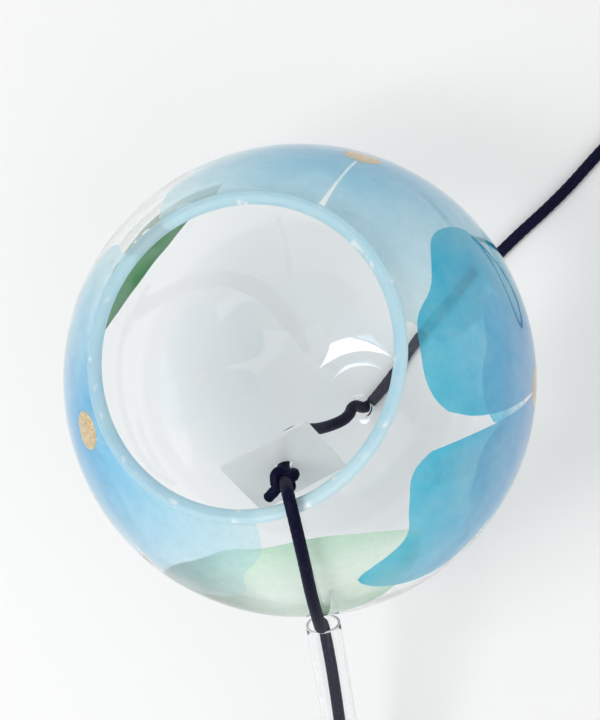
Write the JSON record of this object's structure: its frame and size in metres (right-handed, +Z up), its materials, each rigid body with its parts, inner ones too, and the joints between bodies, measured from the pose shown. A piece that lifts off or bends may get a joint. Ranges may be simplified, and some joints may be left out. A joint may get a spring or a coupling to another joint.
{
  "type": "glass wind bell",
  "caption": "Round blown-glass wind bell with painted flowers, navy braided cord, square stopper film, clear glass clapper tube and a plain paper strip, lying crown down on a table.",
  "frame": {"origin": "the point that the round glass stands on, on the table", "axes": "+Z up, +Y away along the table, +X to the right; the paper strip lies towards -Y"},
  "size_m": [0.1212, 0.3013, 0.0771],
  "materials": {
    "clear_glass": "polished, frosted at the cut mouth",
    "navy_cord": "braided",
    "frosted_film": "frosted",
    "white_paper": "fibrous paper, uncoated"
  },
  "bodies": {
    "bell": {"glass_bell": "clear_glass", "hanging_cord": "navy_cord", "stopper_knot": "navy_cord", "loop_knot": "navy_cord", "hanging_loop": "navy_cord"},
    "stopper": {"stopper_plate": "frosted_film"},
    "clapper_line": {"lower_cord": "navy_cord"},
    "clapper": {"clapper_tube": "clear_glass"},
    "strip_turn": {"clapper_knot": "navy_cord"},
    "strip": {"strip_loop": "navy_cord", "paper_strip": "white_paper"}
  },
  "joints": [
    {"name": "plate_swivel", "type": "hinge", "parent": "bell", "child": "stopper", "pos_m": [-0.00267, -0.0137, 0.0637], "axis": [0.2879, -0.7528, 0.5919], "continuous": true},
    {"name": "clapper_swing", "type": "hinge", "parent": "bell", "child": "clapper_line", "pos_m": [-0.0025, -0.0158, 0.0665], "axis": [-1, 0, 0], "range_deg": [0, 50]},
    {"name": "clapper_spin", "type": "hinge", "parent": "clapper_line", "child": "clapper", "pos_m": [0.01393, -0.1014, 0.00403], "axis": [0.1471, -0.8788, -0.454], "continuous": true},
    {"name": "strip_twist", "type": "hinge", "parent": "clapper_line", "child": "strip_turn", "pos_m": [0.0143, -0.1036, 0.0029], "axis": [0.1471, -0.8788, -0.454], "continuous": true},
    {"name": "strip_swing", "type": "hinge", "parent": "strip_turn", "child": "strip", "pos_m": [0.0143, -0.1036, 0.0029], "axis": [-0.9781, -0.2079, 0], "range_deg": [-27, 48]}
  ]
}
